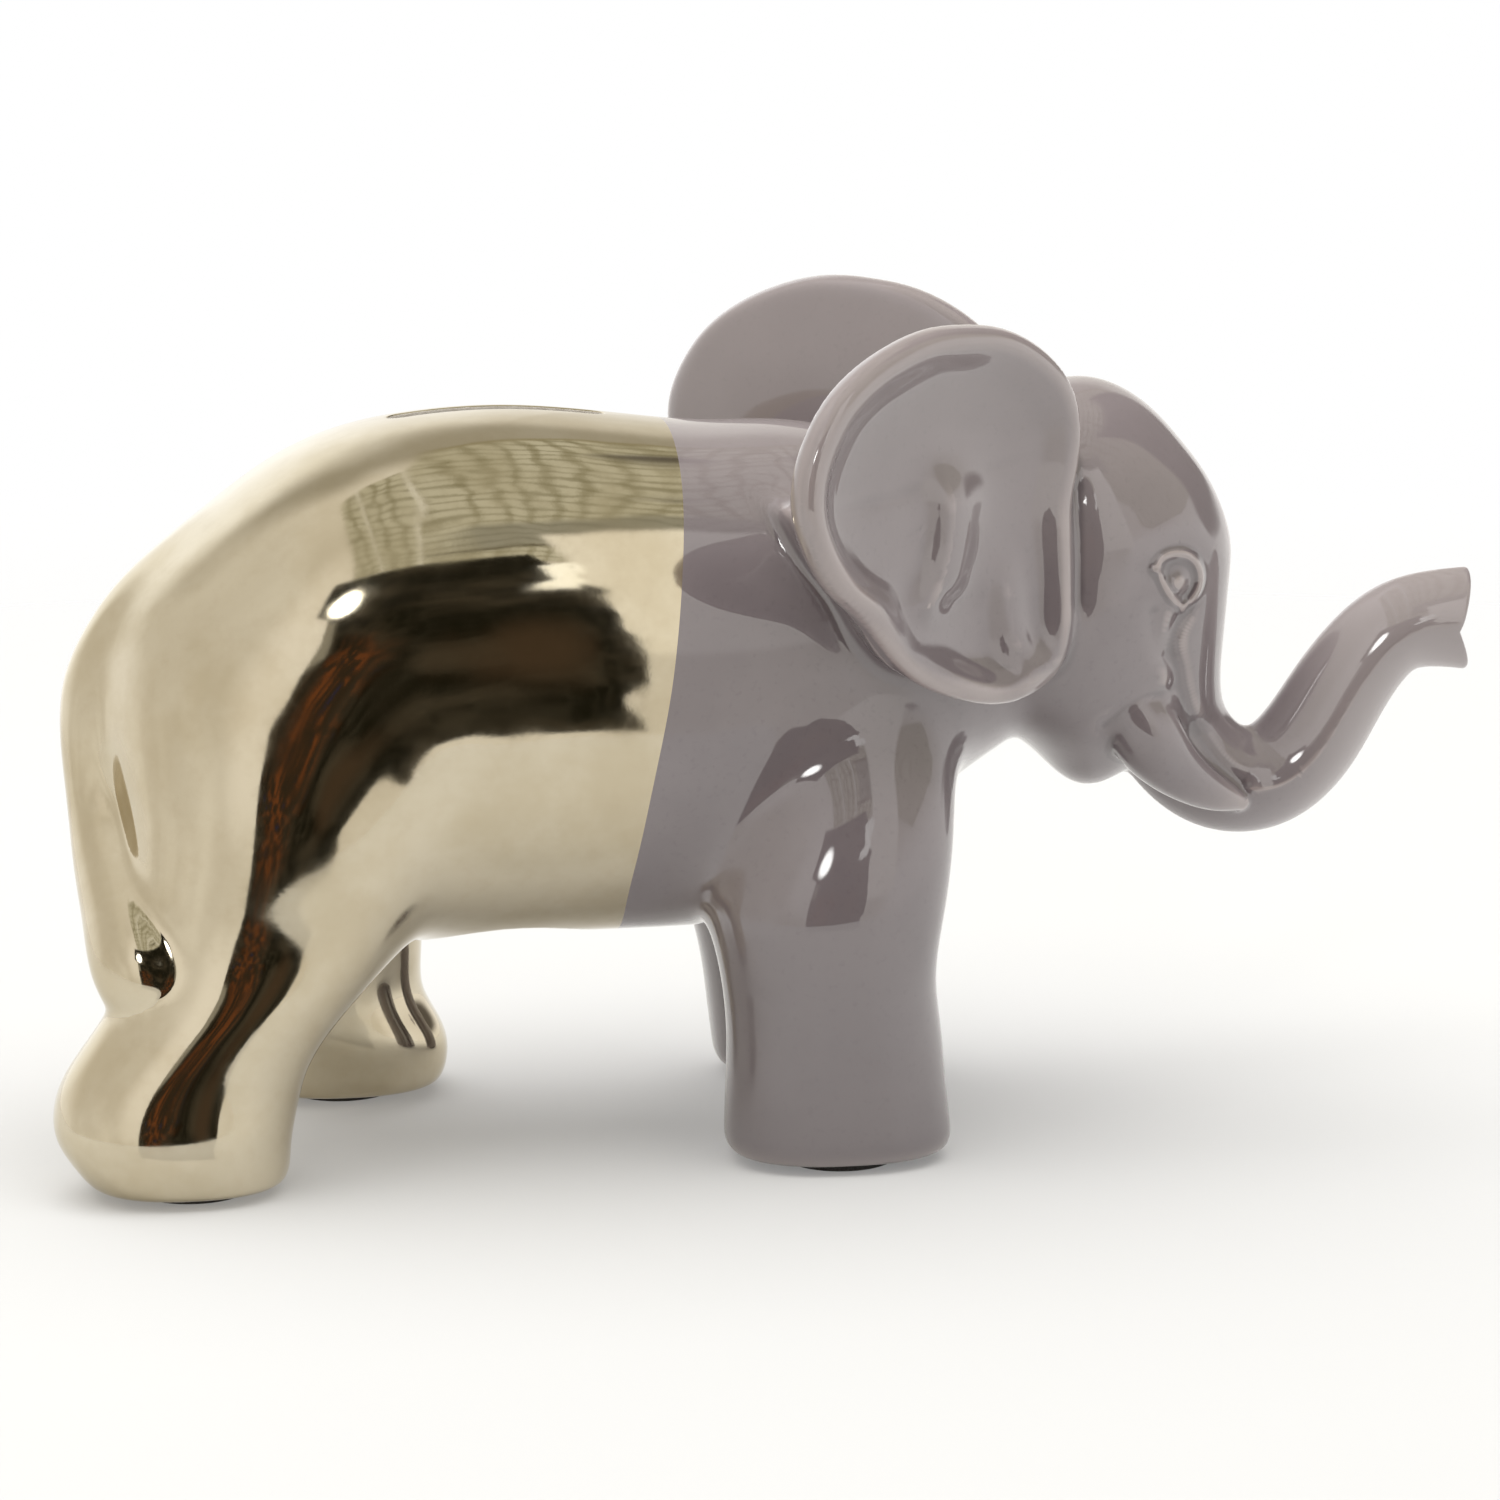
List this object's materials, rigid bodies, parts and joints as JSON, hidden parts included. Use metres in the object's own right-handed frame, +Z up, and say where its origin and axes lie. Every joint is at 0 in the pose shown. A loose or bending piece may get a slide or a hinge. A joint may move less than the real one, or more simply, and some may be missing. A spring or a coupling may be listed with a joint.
{
  "type": "figural animal coin bank",
  "caption": "Hollow ceramic elephant coin bank in a walking pose, two-tone plated and glazed, with a coin slot along the back and a pull-out rubber stopper in the belly.",
  "frame": {"origin": "on the table, under the middle of the bounding box", "axes": "+X forwards along the animal towards the tip of its trunk, +Y to the animal's left, +Z up"},
  "size_m": [0.2467, 0.121, 0.1392],
  "materials": {
    "plating": "mirror-bright pale gold plating over glazed ceramic",
    "glaze": "gloss purple-grey glaze that breaks lighter over edges",
    "stopper": "soft translucent white",
    "pad": "matt dark self-adhesive foam"
  },
  "bodies": {
    "bank": {"rear_body": "plating", "front_body": "glaze", "hind_leg_right": "plating", "hind_leg_left": "plating", "front_leg_right": "glaze", "front_leg_left": "glaze", "head": "glaze", "trunk": "glaze", "ear_right": "glaze", "ear_left": "glaze", "tusk_right": "glaze", "tusk_left": "glaze", "eye_right": "glaze", "eye_left": "glaze", "tail": "plating", "foot_pad_hind_right": "pad", "foot_pad_hind_left": "pad", "foot_pad_front_right": "pad", "foot_pad_front_left": "pad"},
    "stopper": {"stopper": "stopper"}
  },
  "joints": [
    {"name": "stopper_pull", "type": "slide", "parent": "bank", "child": "stopper", "axis": [0, 0, -1], "range_m": [0, 0.02]}
  ]
}
